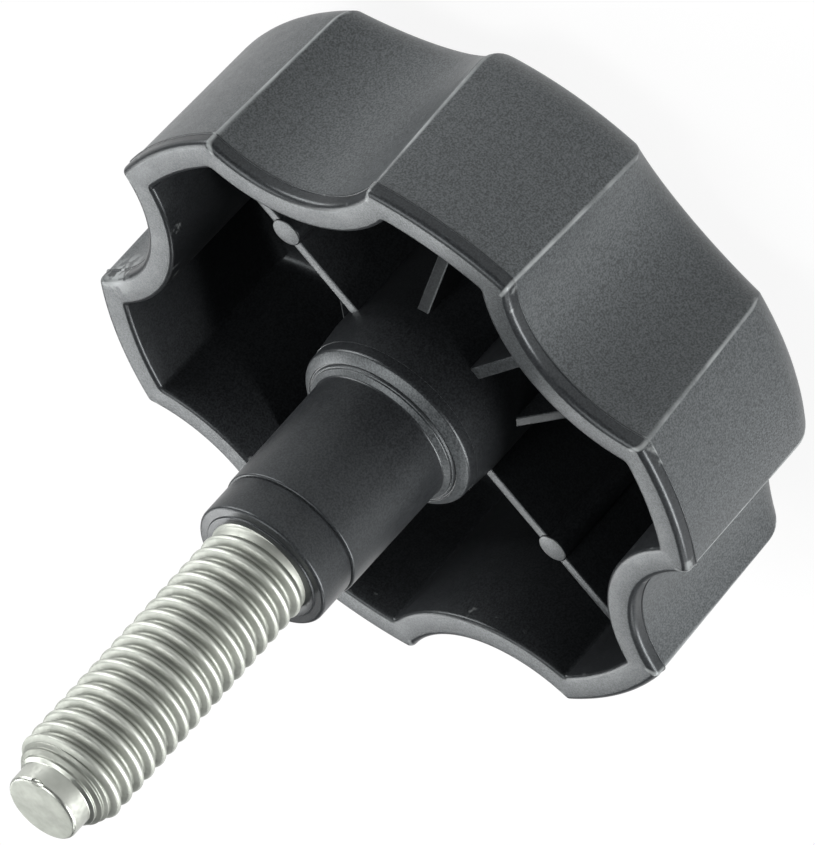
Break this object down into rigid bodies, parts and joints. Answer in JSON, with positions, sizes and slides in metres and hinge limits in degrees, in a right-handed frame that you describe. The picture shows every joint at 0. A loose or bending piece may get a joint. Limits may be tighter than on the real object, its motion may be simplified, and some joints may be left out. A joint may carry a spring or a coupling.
{
  "type": "locking knob",
  "caption": "Lobed plastic hand knob, hollow and ribbed on one side, with a sleeve and a threaded steel dog-point stud.",
  "frame": {"origin": "lowest point of the domed head, on the stud's axis", "axes": "+Z along the stud from the head to the dog point, +X through the middle of one lobe"},
  "size_m": [0.05, 0.0478, 0.0585],
  "materials": {
    "knob_body": "black glass-filled nylon, satin with a fine grain",
    "threaded_stud": "bright zinc-plated steel"
  },
  "bodies": {
    "root": {"knob_body": "knob_body", "threaded_stud": "threaded_stud"}
  },
  "joints": []
}
